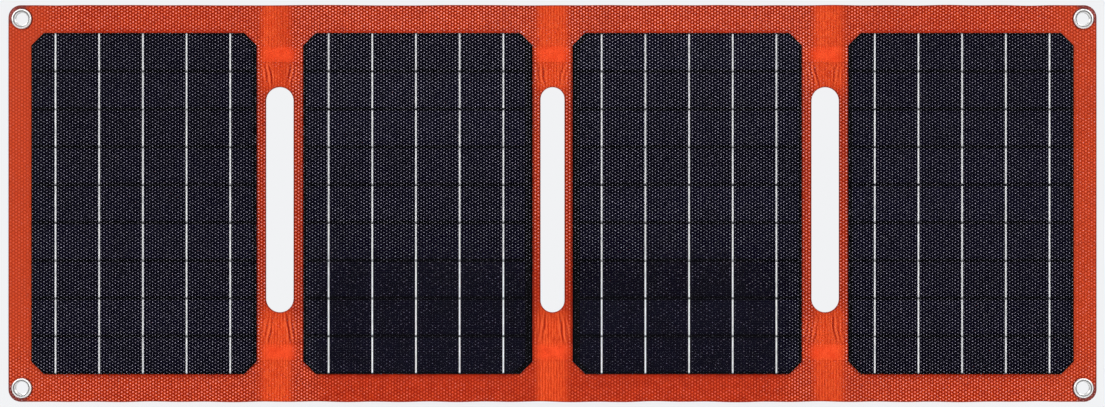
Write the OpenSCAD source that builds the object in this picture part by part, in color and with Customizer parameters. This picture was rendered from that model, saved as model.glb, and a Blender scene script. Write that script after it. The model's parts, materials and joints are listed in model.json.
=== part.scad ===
// Foldable four-leaf solar panel, hanging flat by its four corner eyelets.
// X is the panel's width, Z its height, and the cells face -Y.
// The origin is the centre of the rectangle of eyelets, where the two fabrics meet.

/* [Panel] */
// Overall width of the open panel
panel_w = 782; // [600:1:900]
// Overall height of the panel
panel_h = 285; // [200:1:400]
// Radius of the four outer corners
corner_r = 9; // [3:0.5:20]
// Distance from one fold line to the next
fold_pitch = 196; // [150:1:220]
// Half the width of the soft strip that bends at a fold
strip_half = 4.2; // [3:0.1:7]
// Clear line between a leaf's fabric and the strip
strip_gap = 0.3; // [0.2:0.05:0.5]

/* [Layers] */
// Thickness of the backing fabric
back_t = 0.6; // [0.3:0.05:1]
// Thickness of the front fabric
front_t = 0.6; // [0.3:0.05:1]
// Thickness of the stiff board under the cells
board_t = 1.2; // [0.8:0.1:2]
// Thickness of a tabbing ribbon
ribbon_t = 0.15; // [0.1:0.01:0.2]
// Thickness of a cell
cell_t = 0.2; // [0.15:0.01:0.3]
// Thickness of the clear film
film_t = 0.15; // [0.1:0.01:0.3]

/* [Boards] */
// Height of each board
board_h = 245; // [180:1:300]
// Width of an inner leaf's board
inner_board_w = 164.6; // [120:0.1:180]
// Distance from the middle fold line to an inner board
inner_board_gap = 14.4; // [10:0.1:25]
// Width of an outer leaf's board
outer_board_w = 161.7; // [120:0.1:180]
// Distance from an outer fold line to an outer board
outer_board_gap = 16.5; // [10:0.1:25]
// Leg of the chamfer on a board's corners
board_chamfer = 9; // [4:0.5:15]

/* [Cells] */
// Cells in one leaf's string
cell_count = 9; // [5:1:12]
// Width of a cell, a full wafer
cell_w = 156.75; // [120:0.05:160]
// Height of a cell, a sixth of a wafer
cell_h = 26.1; // [20:0.05:30]
// Gap between two cells
cell_gap = 1.05; // [0.6:0.05:2]
// Leg of the wafer's cropped corner
cell_crop = 8.3; // [2:0.1:10]
// Ribbons across each cell
ribbon_count = 5; // [3:1:6]
// Distance between ribbons
ribbon_pitch = 31.35; // [25:0.05:40]
// Width of a ribbon
ribbon_w = 1.1; // [0.8:0.1:2]

/* [Slots] */
// Width of the slots in the two outer folds
slot_outer_w = 19.8; // [14:0.1:24]
// Width of the slot in the middle fold
slot_inner_w = 17.2; // [14:0.1:24]
// Top of the slots
slot_top = 83.6; // [60:0.1:100]
// Bottom of the slots
slot_bottom = -78.2; // [-100:0.1:-60]

/* [Jumpers] */
// Height of the jumpers above and below the middle
jumper_z = 107; // [100:0.5:115]
// Width of a jumper, a flat conductor in a thin orange sleeve
jumper_h = 11.5; // [6:0.5:14]
// Thickness of a jumper
jumper_t = 0.15; // [0.1:0.01:0.2]
// Length of a jumper under each board
jumper_tail = 5; // [3:0.5:8]

/* [Eyelets] */
// Eyelet centre from the middle of the panel, along X
eyelet_x = 381.5; // [290:0.1:440]
// Eyelet centre from the middle of the panel, along Z
eyelet_z = 132.7; // [90:0.1:190]
// Radius of the eyelet's hole
eyelet_r = 4.5; // [2.5:0.1:5]
// Radius of the eyelet's flange
flange_r = 7.2; // [6:0.1:9]
// Height of the rolled flange over the film
flange_h = 1.1; // [0.6:0.1:1.6]

/* [Controller] */
// Middle of the controller box along X
box_x = 330; // [300:1:340]
// Width of the controller box
box_w = 60; // [50:1:70]
// Height of the controller box
box_h = 84; // [76:1:100]
// Depth of the controller box behind the fabric
box_d = 12; // [11.5:0.1:14]
// Radius of the box's corners
box_r = 7; // [4:0.5:10]
// Thickness of the box's walls
wall = 1.6; // [1.2:0.1:2.4]

/* [Hidden] */
$fn = 48;
hw = panel_w / 2;
hh = panel_h / 2;
// a leaf's cut edge beside its fold line
edge = strip_half + strip_gap;
inner_x0 = inner_board_gap;
inner_x1 = inner_x0 + inner_board_w;
outer_x0 = fold_pitch + outer_board_gap;
outer_x1 = outer_x0 + outer_board_w;
inner_mid = fold_pitch / 2;
outer_mid = fold_pitch * 1.5;
// depths of the faces, front to back
y_board = -front_t - board_t;
y_back_ribbon = y_board - ribbon_t;
y_cell = y_back_ribbon - cell_t;
y_ribbon = y_cell - ribbon_t;
y_film_in = y_ribbon - 0.05;
y_film = y_film_in - film_t;
pitch_z = cell_h + cell_gap;
stack_h = cell_count * cell_h + (cell_count - 1) * cell_gap;
jumper_y = -front_t - 0.1;
tunnel = 0.35;
barrel_r = eyelet_r + 0.6;
washer_t = 0.5;
bush_r = 2.2;
lead_r = 0.9;
lead_x = box_x - 22;
y0 = back_t;
y_floor = y0 + 1.4;
y_pcb = y_floor + 1.4;
y_parts = y_pcb + 1.2;
y_rim = y_floor + 2;
y_cover = y_rim + 0.4;
y_lid = y0 + box_d - 1.4;
y_top = y0 + box_d;
post_x = box_w / 2 - 7;
post_z = box_h / 2 - 7;
usb_len = 13.6;
usb_x1 = box_x + box_w / 2 - 0.4;
orange = [0.80, 0.22, 0.09];
steel = [0.80, 0.80, 0.81];

// a flat outline in X and Z, thickened from y_from back to y_to
module slab(y_from, y_to) {
  translate([0, y_to, 0]) rotate([90, 0, 0]) linear_extrude(y_to - y_from) children();
}

// mirrors its children to the left half of the panel
module left() {
  mirror([1, 0, 0]) children();
}

module box_2d(x0, x1, z0, z1) {
  translate([x0, z0]) square([x1 - x0, z1 - z0]);
}

module rounded_2d(w, h, r) {
  square([w - 2 * r, h], center = true);
  square([w, h - 2 * r], center = true);
  for (sx = [-1, 1], sz = [-1, 1])
    translate([sx * (w / 2 - r), sz * (h / 2 - r)]) circle(r);
}

module slot_2d(x, w) {
  box_2d(x - w / 2, x + w / 2, slot_bottom + w / 2, slot_top - w / 2);
  translate([x, slot_top - w / 2]) circle(w / 2);
  translate([x, slot_bottom + w / 2]) circle(w / 2);
}

// a board's outline, grown by g on every side
module board_2d(x0, x1, g) {
  h = board_h / 2 + g;
  c = board_chamfer + g * 0.586;
  polygon([
    [x0 - g + c, -h], [x1 + g - c, -h], [x1 + g, -h + c], [x1 + g, h - c],
    [x1 + g - c, h], [x0 - g + c, h], [x0 - g, h - c], [x0 - g, -h + c]
  ]);
}

// the fabric of the leaf between the middle fold and an outer one
module inner_2d() {
  difference() {
    box_2d(edge, fold_pitch - edge, -hh, hh);
    slot_2d(0, slot_inner_w);
    slot_2d(fold_pitch, slot_outer_w);
  }
}

// the fabric of an end leaf, with its eyelet holes of radius r
module outer_2d(r) {
  difference() {
    union() {
      box_2d(fold_pitch + edge, hw - corner_r, -hh, hh);
      box_2d(hw - corner_r - 1, hw, -hh + corner_r, hh - corner_r);
      for (s = [-1, 1])
        translate([hw - corner_r, s * (hh - corner_r)]) circle(corner_r);
    }
    slot_2d(fold_pitch, slot_outer_w);
    for (s = [-1, 1])
      translate([eyelet_x, s * eyelet_z]) circle(r);
  }
}

// holes for the two lead bushes
module lead_holes_2d() {
  for (s = [-1, 1])
    translate([lead_x, s * 9]) circle(bush_r);
}

// the tunnel that a jumper runs through, from x0 to x1
module tunnels(x0, x1, g, depth) {
  for (s = [-1, 1])
    slab(-front_t - depth, -front_t + 0.01)
      box_2d(x0, x1, s * jumper_z - jumper_h / 2 - g, s * jumper_z + jumper_h / 2 + g);
}

module board(x0, x1, left_tail, right_tail) {
  difference() {
    slab(y_board, -front_t) board_2d(x0, x1, 0);
    if (left_tail) tunnels(x0 - 1, x0 + jumper_tail + 0.6, 0.5, tunnel);
    if (right_tail) tunnels(x1 - jumper_tail - 0.6, x1 + 1, 0.5, tunnel);
  }
}

// one cell, with cropped corners on the string's end cells
module cell_2d(i) {
  w = cell_w / 2;
  c = cell_crop;
  if (i == 0)
    polygon([[-w, 0], [w, 0], [w, cell_h - c], [w - c, cell_h], [c - w, cell_h], [-w, cell_h - c]]);
  else if (i == cell_count - 1)
    polygon([[c - w, 0], [w - c, 0], [w, c], [w, cell_h], [-w, cell_h], [-w, c]]);
  else
    polygon([[-w, 0], [w, 0], [w, cell_h], [-w, cell_h]]);
}

function cell_z(i) = stack_h / 2 - cell_h - i * pitch_z;

module cells(mid) {
  for (i = [0:cell_count - 1])
    slab(y_cell, y_back_ribbon) translate([mid, cell_z(i)]) cell_2d(i);
}

// a strip bent in a flat outline of Y and Z, ribbon_w wide
module bent(points) {
  translate([-ribbon_w / 2, 0, 0]) rotate([90, 0, 90]) linear_extrude(ribbon_w) polygon(points);
}

// from the front of cell i, down the gap and behind the next one; the first starts just above its cell
module link(i) {
  top = cell_z(i) + cell_h + (i == 0 ? 0.5 : -0.5);
  g = cell_z(i) - cell_gap / 2;
  low = g - 12;
  bent([
    [y_ribbon, top], [y_ribbon, g - 0.1], [y_back_ribbon, g - 0.1], [y_back_ribbon, low],
    [y_board, low], [y_board, g + 0.1], [y_cell, g + 0.1], [y_cell, top]
  ]);
}

// over the last cell's lower edge to the busbar
module last_link() {
  i = cell_count - 1;
  top = cell_z(i) + cell_h - 0.5;
  g = cell_z(i) - 0.35;
  bent([
    [y_ribbon, top], [y_ribbon, g - 0.2], [y_board, g - 0.2], [y_board, g], [y_cell, g],
    [y_cell, top]
  ]);
}

// behind the first cell, below the upper busbar
module first_link() {
  top = stack_h / 2 - 4;
  bent([[y_back_ribbon, top - 12], [y_board, top - 12], [y_board, top], [y_back_ribbon, top]]);
}

module ribbons(mid) {
  for (k = [0:ribbon_count - 1])
    translate([mid + (k - (ribbon_count - 1) / 2) * ribbon_pitch, 0, 0]) {
      first_link();
      for (i = [0:cell_count - 2]) link(i);
      last_link();
    }
}

// the upper bar joins the first ribbons behind the cells, the lower one the last
module busbars(mid) {
  w = ribbon_pitch * (ribbon_count - 1) / 2 + 5;
  slab(y_back_ribbon, y_board) {
    box_2d(mid - w, mid + w, stack_h / 2 - 4, stack_h / 2 - 1);
    box_2d(mid - w, mid + w, 0.1 - stack_h / 2, 3 - stack_h / 2);
  }
}

// the clear film: flat on the fabric, raised over the board and the jumpers
module film(x0, x1, j0, j1) {
  difference() {
    union() {
      slab(-front_t - film_t, -front_t) children();
      slab(y_film, -front_t) board_2d(x0, x1, 0.4);
      tunnels(j0, x0, 0.7, tunnel + 0.15);
      if (j1 > 0) tunnels(x1, j1, 0.7, tunnel + 0.15);
    }
    slab(y_film_in, -front_t + 0.1) board_2d(x0, x1, 0.25);
    tunnels(j0 - 1, x0 + 1, 0.5, tunnel);
    if (j1 > 0) tunnels(x1 - 1, j1 + 1, 0.5, tunnel);
  }
}

module inner_film() {
  film(inner_x0, inner_x1, edge, fold_pitch - edge) inner_2d();
}

module outer_film() {
  film(outer_x0, outer_x1, fold_pitch + edge, 0) outer_2d(barrel_r);
}

// the fabric left above and below a slot, along a fold line
module strip(x, w) {
  slab(-front_t, back_t) difference() {
    box_2d(x - strip_half, x + strip_half, -hh, hh);
    slot_2d(x, w);
  }
}

// the flat sleeved conductors across a fold, one above and one below the slot
module jumpers(x0, x1) {
  for (s = [-1, 1])
    slab(jumper_y - jumper_t, jumper_y)
      box_2d(x0 - jumper_tail, x1 + jumper_tail,
        s * jumper_z - jumper_h / 2, s * jumper_z + jumper_h / 2);
}

// places its children on both eyelets of the right end, local Z towards the viewer
module at_eyelets() {
  for (s = [-1, 1])
    translate([eyelet_x, 0, s * eyelet_z]) rotate([90, 0, 0]) children();
}

// a low rolled flange in section, from r0 to r1 and h high
module dome_2d(r0, r1, h) {
  w = r1 - r0;
  polygon([
    [r0, 0], [r1, 0], [r1, h * 0.3], [r1 - w * 0.13, h * 0.75], [r1 - w * 0.36, h],
    [r0 + w * 0.34, h], [r0 + w * 0.1, h * 0.7], [r0, h * 0.4]
  ]);
}

module eyelets() {
  back = back_t + washer_t;
  at_eyelets() rotate_extrude() {
    translate([0, front_t + film_t]) dome_2d(eyelet_r, flange_r, flange_h);
    translate([eyelet_r, -back]) square([0.6, back + front_t + film_t]);
    translate([0, -back]) mirror([0, 1]) dome_2d(eyelet_r, eyelet_r + 1.8, 0.6);
  }
}

module washers() {
  at_eyelets() translate([0, 0, -back_t - washer_t]) difference() {
    cylinder(r = flange_r, h = washer_t);
    translate([0, 0, -1]) cylinder(r = barrel_r, h = washer_t + 2);
  }
}

// places its children at the box's four screws
module at_posts() {
  for (sx = [-1, 1], sz = [-1, 1])
    translate([box_x + sx * post_x, sz * post_z]) children();
}

module box_outline(inset) {
  translate([box_x, 0]) rounded_2d(box_w - 2 * inset, box_h - 2 * inset, box_r - inset);
}

// the three mouths in the box's outer side wall
module port_mouths() {
  x0 = box_x + box_w / 2 - wall - 1;
  for (z = [24, 4])
    translate([x0, y_parts + 0.1, z - 6.8]) cube([wall + 2, 6.2, 13.6]);
  translate([x0, y_parts + 0.1, -18.7]) cube([wall + 2, 3.6, 9.4]);
}

module leaf_1_back_fabric() { color([0.16, 0.16, 0.17]) left() slab(0, back_t) outer_2d(barrel_r); }
module leaf_1_front_fabric() { color(orange) left() slab(-front_t, 0) outer_2d(barrel_r); }
module leaf_1_board() { color([0.04, 0.04, 0.05]) left() board(outer_x0, outer_x1, true, false); }
module leaf_1_cells() { color([0.09, 0.08, 0.13]) left() cells(outer_mid); }
module leaf_1_ribbons() { color([0.88, 0.88, 0.86]) left() ribbons(outer_mid); }
module leaf_1_busbars() { color([0.86, 0.86, 0.84]) left() busbars(outer_mid); }
module leaf_1_film() { color([0.85, 0.88, 0.92, 0.3]) left() outer_film(); }

module leaf_2_back_fabric() { color([0.16, 0.16, 0.17]) left() slab(0, back_t) inner_2d(); }
module leaf_2_front_fabric() { color(orange) left() slab(-front_t, 0) inner_2d(); }
module leaf_2_board() { color([0.04, 0.04, 0.05]) left() board(inner_x0, inner_x1, true, true); }
module leaf_2_cells() { color([0.09, 0.08, 0.13]) left() cells(inner_mid); }
module leaf_2_ribbons() { color([0.88, 0.88, 0.86]) left() ribbons(inner_mid); }
module leaf_2_busbars() { color([0.86, 0.86, 0.84]) left() busbars(inner_mid); }
module leaf_2_film() { color([0.85, 0.88, 0.92, 0.3]) left() inner_film(); }

module leaf_3_back_fabric() { color([0.16, 0.16, 0.17]) slab(0, back_t) inner_2d(); }
module leaf_3_front_fabric() { color(orange) slab(-front_t, 0) inner_2d(); }
module leaf_3_board() { color([0.04, 0.04, 0.05]) board(inner_x0, inner_x1, true, true); }
module leaf_3_cells() { color([0.09, 0.08, 0.13]) cells(inner_mid); }
module leaf_3_ribbons() { color([0.88, 0.88, 0.86]) ribbons(inner_mid); }
module leaf_3_busbars() { color([0.86, 0.86, 0.84]) busbars(inner_mid); }
module leaf_3_film() { color([0.85, 0.88, 0.92, 0.3]) inner_film(); }

module leaf_4_back_fabric() {
  color([0.16, 0.16, 0.17]) slab(0, back_t) difference() {
    outer_2d(barrel_r);
    lead_holes_2d();
  }
}
module leaf_4_front_fabric() {
  color(orange) slab(-front_t, 0) difference() {
    outer_2d(barrel_r);
    lead_holes_2d();
  }
}
module leaf_4_board() { color([0.04, 0.04, 0.05]) board(outer_x0, outer_x1, true, false); }
module leaf_4_cells() { color([0.09, 0.08, 0.13]) cells(outer_mid); }
module leaf_4_ribbons() { color([0.88, 0.88, 0.86]) ribbons(outer_mid); }
module leaf_4_busbars() { color([0.86, 0.86, 0.84]) busbars(outer_mid); }
module leaf_4_film() { color([0.85, 0.88, 0.92, 0.3]) outer_film(); }

module fold_1_strip() { color([0.84, 0.27, 0.13]) strip(-fold_pitch, slot_outer_w); }
module fold_2_strip() { color([0.84, 0.27, 0.13]) strip(0, slot_inner_w); }
module fold_3_strip() { color([0.84, 0.27, 0.13]) strip(fold_pitch, slot_outer_w); }
module fold_1_jumpers() { color([0.88, 0.29, 0.14]) left() jumpers(inner_x1, outer_x0); }
module fold_2_jumpers() { color([0.88, 0.29, 0.14]) jumpers(-inner_x0, inner_x0); }
module fold_3_jumpers() { color([0.88, 0.29, 0.14]) jumpers(inner_x1, outer_x0); }

module leaf_1_eyelets() { color(steel) left() eyelets(); }
module leaf_1_washers() { color(steel) left() washers(); }
module leaf_4_eyelets() { color(steel) eyelets(); }
module leaf_4_washers() { color(steel) washers(); }

module controller_base() {
  color([0.10, 0.10, 0.11]) difference() {
    union() {
      slab(y0, y_floor) box_outline(0);
      slab(y_floor, y_rim) difference() {
        box_outline(0);
        box_outline(wall);
      }
      slab(y_floor - 0.1, y_pcb) at_posts() circle(3);
    }
    slab(y0 - 0.1, y_floor + 0.1) lead_holes_2d();
    slab(y0 + 0.6, y_pcb + 0.1) at_posts() circle(1.25);
  }
}

module controller_cover() {
  color([0.12, 0.12, 0.13]) difference() {
    union() {
      slab(y_cover, y_lid) difference() {
        box_outline(0);
        box_outline(wall);
      }
      slab(y_lid, y_top) box_outline(0);
      slab(y_parts + 0.3, y_lid + 0.1) at_posts() circle(4.1);
    }
    slab(y_parts, y_top + 0.1) at_posts() circle(1.4);
    slab(y_top - 2.4, y_top + 0.1) at_posts() circle(2.8);
    port_mouths();
    slab(y_lid - 0.1, y_top + 0.1) translate([box_x - 14, 26]) circle(1.6);
    slab(y_top - 0.4, y_top + 0.1) translate([box_x + 1, -4]) rounded_2d(34, 30, 2.5);
  }
}

module controller_gasket() {
  color([0.03, 0.03, 0.03]) slab(y_rim, y_cover) difference() {
    box_outline(0.25);
    box_outline(wall - 0.25);
  }
}

module controller_pcb() {
  color([0.05, 0.25, 0.12]) slab(y_pcb, y_parts) difference() {
    translate([box_x, 0]) rounded_2d(box_w - 2 * wall - 1.4, box_h - 2 * wall - 1.4, 4);
    at_posts() circle(1.5);
    for (s = [-1, 1]) translate([lead_x, s * 9]) circle(lead_r + 0.1);
  }
}

module controller_screws() {
  color(steel) {
    slab(y0 + 0.9, y_top - 2.4) at_posts() circle(1.2);
    difference() {
      slab(y_top - 2.4, y_top - 0.7) at_posts() circle(2.5);
      slab(y_top - 1.5, y_top) at_posts() union() {
        square([3, 0.6], center = true);
        square([0.6, 3], center = true);
      }
    }
  }
}

module usb_a_shells() {
  color(steel) for (z = [24, 4]) translate([usb_x1 - usb_len, y_parts + 0.3, z - 6.55])
    difference() {
      cube([usb_len, 5.7, 13.1]);
      translate([0.3, 0.3, 0.3]) cube([usb_len, 5.1, 12.5]);
    }
}

module usb_a_tongues() {
  color([0.93, 0.93, 0.90]) for (z = [24, 4])
    translate([usb_x1 - usb_len + 0.3, y_parts + 0.6, z - 6.25]) union() {
      cube([2.5, 5.1, 12.5]);
      translate([0, 2.8, 0.7]) cube([usb_len - 1.6, 1.84, 11.1]);
    }
}

module usb_c_shell() {
  color(steel) translate([usb_x1 - 8.5, y_parts + 0.3, -14]) rotate([0, 90, 0])
    translate([0, 1.6, 0]) difference() {
      linear_extrude(8.5) rounded_2d(8.94, 3.2, 1.5);
      translate([0, 0, 0.3]) linear_extrude(9) rounded_2d(8.34, 2.6, 1.2);
    }
}

module usb_c_tongue() {
  color([0.12, 0.12, 0.13]) translate([usb_x1 - 8.2, y_parts + 0.3, -14]) union() {
    translate([0, 0.95, -3.6]) cube([1.6, 1.3, 7.2]);
    translate([0, 1.25, -3.3]) cube([7, 0.7, 6.6]);
  }
}

module inductor() {
  color([0.22, 0.22, 0.23]) slab(y_parts, y_parts + 4) translate([box_x - 4, 22])
    rounded_2d(10.4, 10.4, 2);
}

module capacitors() {
  color([0.72, 0.72, 0.74]) for (z = [-8, -17])
    slab(y_parts, y_parts + 5.4) translate([box_x - 8, z]) circle(3.15);
}

module converter_chip() {
  color([0.06, 0.06, 0.06]) slab(y_parts, y_parts + 1.2) translate([box_x - 4, 7])
    square([7, 7], center = true);
}

module status_led() {
  color([0.75, 0.80, 0.35]) slab(y_parts, y_parts + 0.8) translate([box_x - 14, 26])
    square([2, 1.4], center = true);
}

module light_pipe() {
  color([0.85, 0.90, 0.85, 0.6]) slab(y_parts + 1, y_top - 0.1)
    translate([box_x - 14, 26]) circle(1.5);
}

module lead_wires() {
  color([0.75, 0.10, 0.08]) slab(-front_t, y_parts + 0.6) for (s = [-1, 1])
    translate([lead_x, s * 9]) circle(lead_r);
}

module lead_bushes() {
  color([0.05, 0.05, 0.05]) slab(-front_t, y_floor) difference() {
    lead_holes_2d();
    for (s = [-1, 1]) translate([lead_x, s * 9]) circle(lead_r);
  }
}

leaf_1_back_fabric();
leaf_1_front_fabric();
leaf_1_board();
leaf_1_cells();
leaf_1_ribbons();
leaf_1_busbars();
leaf_1_film();
leaf_2_back_fabric();
leaf_2_front_fabric();
leaf_2_board();
leaf_2_cells();
leaf_2_ribbons();
leaf_2_busbars();
leaf_2_film();
leaf_3_back_fabric();
leaf_3_front_fabric();
leaf_3_board();
leaf_3_cells();
leaf_3_ribbons();
leaf_3_busbars();
leaf_3_film();
leaf_4_back_fabric();
leaf_4_front_fabric();
leaf_4_board();
leaf_4_cells();
leaf_4_ribbons();
leaf_4_busbars();
leaf_4_film();
fold_1_strip();
fold_2_strip();
fold_3_strip();
fold_1_jumpers();
fold_2_jumpers();
fold_3_jumpers();
leaf_1_eyelets();
leaf_1_washers();
leaf_4_eyelets();
leaf_4_washers();
controller_base();
controller_cover();
controller_gasket();
controller_pcb();
controller_screws();
usb_a_shells();
usb_a_tongues();
usb_c_shell();
usb_c_tongue();
inductor();
capacitors();
converter_chip();
status_led();
light_pipe();
lead_wires();
lead_bushes();
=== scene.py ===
"""The looks of the foldable solar panel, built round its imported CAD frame.

Metres, +Z up, the cells face -Y. The front is one orange fabric with four black boards on it, all under one
clear film with a honeycomb emboss; the back is one charcoal fabric with a controller box behind leaf 4.
"""

import json
import math

import bpy
import numpy as np
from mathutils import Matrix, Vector, geometry


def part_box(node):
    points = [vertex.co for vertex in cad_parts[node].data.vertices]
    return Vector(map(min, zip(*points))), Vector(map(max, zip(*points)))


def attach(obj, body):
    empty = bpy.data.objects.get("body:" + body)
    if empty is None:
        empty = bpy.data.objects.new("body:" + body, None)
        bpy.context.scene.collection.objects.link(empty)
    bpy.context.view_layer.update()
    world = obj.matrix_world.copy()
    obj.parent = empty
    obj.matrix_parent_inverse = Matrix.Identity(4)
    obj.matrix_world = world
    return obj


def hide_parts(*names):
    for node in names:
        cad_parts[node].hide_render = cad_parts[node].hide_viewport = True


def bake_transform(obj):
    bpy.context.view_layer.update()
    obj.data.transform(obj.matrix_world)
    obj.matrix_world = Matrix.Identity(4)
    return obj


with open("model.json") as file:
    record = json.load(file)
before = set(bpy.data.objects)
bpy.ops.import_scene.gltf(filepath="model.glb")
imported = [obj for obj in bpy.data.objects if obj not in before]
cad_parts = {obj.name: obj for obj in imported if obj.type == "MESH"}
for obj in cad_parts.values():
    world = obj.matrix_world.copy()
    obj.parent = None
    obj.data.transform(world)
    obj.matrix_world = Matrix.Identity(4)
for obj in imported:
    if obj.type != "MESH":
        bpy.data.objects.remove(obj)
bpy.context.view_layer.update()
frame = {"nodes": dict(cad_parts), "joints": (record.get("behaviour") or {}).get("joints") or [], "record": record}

# ---------------------------------------------------------------- sizes

MM = 0.001
LEAVES = (1, 2, 3, 4)
FOLD_X = {j["name"]: j["pos_m"][0] for j in frame["joints"]}
HALF_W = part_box("leaf_4_back_fabric")[1].x
HALF_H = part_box("leaf_4_back_fabric")[1].z
CORNER_R = 9 * MM
BOARDS = [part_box(f"leaf_{n}_board") for n in LEAVES]
BOARD_TOP = BOARDS[0][1].z
BOARD_CHAMFER = 9 * MM
# distances outside a board's outline at which the film gets points for its slope
SLOPE_RINGS = (-1.2 * MM, -0.4 * MM, 0.3 * MM, 1.0 * MM, 1.7 * MM, 2.4 * MM)
CELL_GAP = 1.05 * MM
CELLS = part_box("leaf_1_cells")
CELLS_IN_COLUMN = 9
CELL_PITCH = (CELLS[1].z - CELLS[0].z + CELL_GAP) / CELLS_IN_COLUMN
FINGER_PITCH = 1.6 * MM
SLOT_W = {"fold_1": 19.8 * MM, "fold_2": 17.2 * MM, "fold_3": 19.8 * MM}
SLOT_TOP = 83.6 * MM
SLOT_BOTTOM = -78.2 * MM
# each fabric is one sheet, made here in three spans that meet behind the middles of leaves 2 and 3
SEAM_X = FOLD_X["fold_3"] / 2
SPAN_FOLD = {-1: "fold_1", 0: "fold_2", 1: "fold_3"}
# the creased web of fabric beside each fold line reaches this far
WEB_HALF_W = 15 * MM
GROOVE_PITCH = 3.2 * MM
JUMPER_HALF_H = 5.75 * MM
JUMPER_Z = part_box("fold_2_jumpers")[1].z - JUMPER_HALF_H
PATCH_HALF_W = 11 * MM
# how far the jumpers push the film forward
JUMPER_RISE = 0.33 * MM

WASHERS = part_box("leaf_4_washers")
FLANGE_R = (WASHERS[1].x - WASHERS[0].x) / 2
EYELET_X = (WASHERS[1].x + WASHERS[0].x) / 2
EYELET_Z = WASHERS[1].z - FLANGE_R
HOLE_R = 4.5 * MM
BARREL_R = 5.1 * MM
WASHER_T = 0.5 * MM

Y_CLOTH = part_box("leaf_1_front_fabric")[0].y
FILM_T = 0.15 * MM
Y_FILM_FLAT = Y_CLOTH - FILM_T
Y_FILM_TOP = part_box("leaf_1_film")[0].y
Y_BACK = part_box("leaf_1_back_fabric")[1].y
# clear space between two layers that lie on each other
LAYER_GAP = 0.02 * MM

# the honeycomb emboss: from column to column, and from dimple to dimple along a column
HEX_PITCH_X = 2.05 * MM
HEX_PITCH_Z = 2.44 * MM


# ---------------------------------------------------------------- shapes as distances

def ramp(value, start, end):
    """From 0 at start to 1 at end, eased."""
    t = np.clip((value - start) / (end - start), 0, 1)
    return t * t * (3 - 2 * t)


def band(value, centre, reach, soft):
    """0 from reach away from centre outwards, rising to 1 over soft metres."""
    return ramp(np.abs(value - centre), reach, reach - soft)


def ripple(t, seed, waves=5):
    """A gentle wave along t, from -1 to 1, the same on every run."""
    rng = np.random.default_rng(seed)
    total = np.zeros_like(t)
    for _ in range(waves):
        length = rng.uniform(0.04, 0.22)
        total += np.sin(t * 2 * math.pi / length + rng.uniform(0, 2 * math.pi))
    return total / waves


def to_rounded_box(x, z, cx, cz, hx, hz, r):
    """Distance outside a rounded rectangle, negative inside."""
    dx = np.abs(x - cx) - (hx - r)
    dz = np.abs(z - cz) - (hz - r)
    outside = np.hypot(np.maximum(dx, 0), np.maximum(dz, 0))
    return outside + np.minimum(np.maximum(dx, dz), 0) - r


def to_board(x, z, n):
    """Distance outside the chamfered outline of leaf n's board."""
    lo, hi = BOARDS[n - 1]
    dx = np.abs(x - (lo.x + hi.x) / 2) - (hi.x - lo.x) / 2
    dz = np.abs(z) - hi.z
    return np.maximum(np.maximum(dx, dz), (dx + dz + BOARD_CHAMFER) / math.sqrt(2))


def to_boards(x, z):
    """Distance outside the nearest board."""
    return np.min([to_board(x, z, n) for n in LEAVES], axis=0)


def to_slot(x, z, fold):
    """Distance outside the round-ended slot of a fold."""
    half = SLOT_W[fold] / 2
    middle = (SLOT_TOP + SLOT_BOTTOM) / 2
    reach = (SLOT_TOP - SLOT_BOTTOM) / 2
    return to_rounded_box(x, z, FOLD_X[fold], middle, half, reach, half)


def to_slots(x, z):
    """Distance outside the nearest slot."""
    return np.min([to_slot(x, z, fold) for fold in FOLD_X], axis=0)


def to_eyelet(x, z):
    """Distance from the nearest eyelet's centre."""
    return np.hypot(np.abs(x) - EYELET_X, np.abs(z) - EYELET_Z)


def to_fabric(x, z):
    """Distance outside the cut fabric: the outline, the slots and the eyelets' holes."""
    outline = to_rounded_box(x, z, 0, 0, HALF_W, HALF_H, CORNER_R)
    return np.max([outline, -to_slots(x, z), BARREL_R - to_eyelet(x, z)], axis=0)


def from_fold(x):
    """Signed distance from the nearest fold line."""
    lines = np.array(list(FOLD_X.values()))
    nearest = np.argmin(np.abs(x[:, None] - lines), axis=1)
    return x - lines[nearest]


# ---------------------------------------------------------------- the lie of the fabric

def jumper_band(z):
    """1 at the height of the flat sleeved jumpers above and below the slots, 0 away from them."""
    return band(np.abs(z), JUMPER_Z, JUMPER_HALF_H + 0.9 * MM, 1.2 * MM)


def patch_mask(x, z):
    """1 on the middle of each jumper, where the film is pressed smooth over it."""
    across = band(from_fold(x), 0, PATCH_HALF_W + 3.5 * MM, 9 * MM)
    reach = JUMPER_HALF_H + 1.8 * MM + 1.3 * MM * ripple(4 * x + z, 8)
    return across * band(np.abs(z), JUMPER_Z, reach, 5 * MM)


def web_mask(x, z):
    """1 in the smooth webs above and below the slots, which lie a little further out at the outer folds."""
    further_out = 2.5 * MM
    centres = np.array([fold_x + further_out * np.sign(fold_x) for fold_x in FOLD_X.values()])
    away = np.min(np.abs(x[:, None] - centres), axis=1)
    beyond_slot = np.maximum(z - SLOT_TOP, SLOT_BOTTOM - z)
    return band(away, 0, 14.5 * MM, 7.5 * MM) * ramp(beyond_slot, -12 * MM, 2 * MM)


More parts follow.
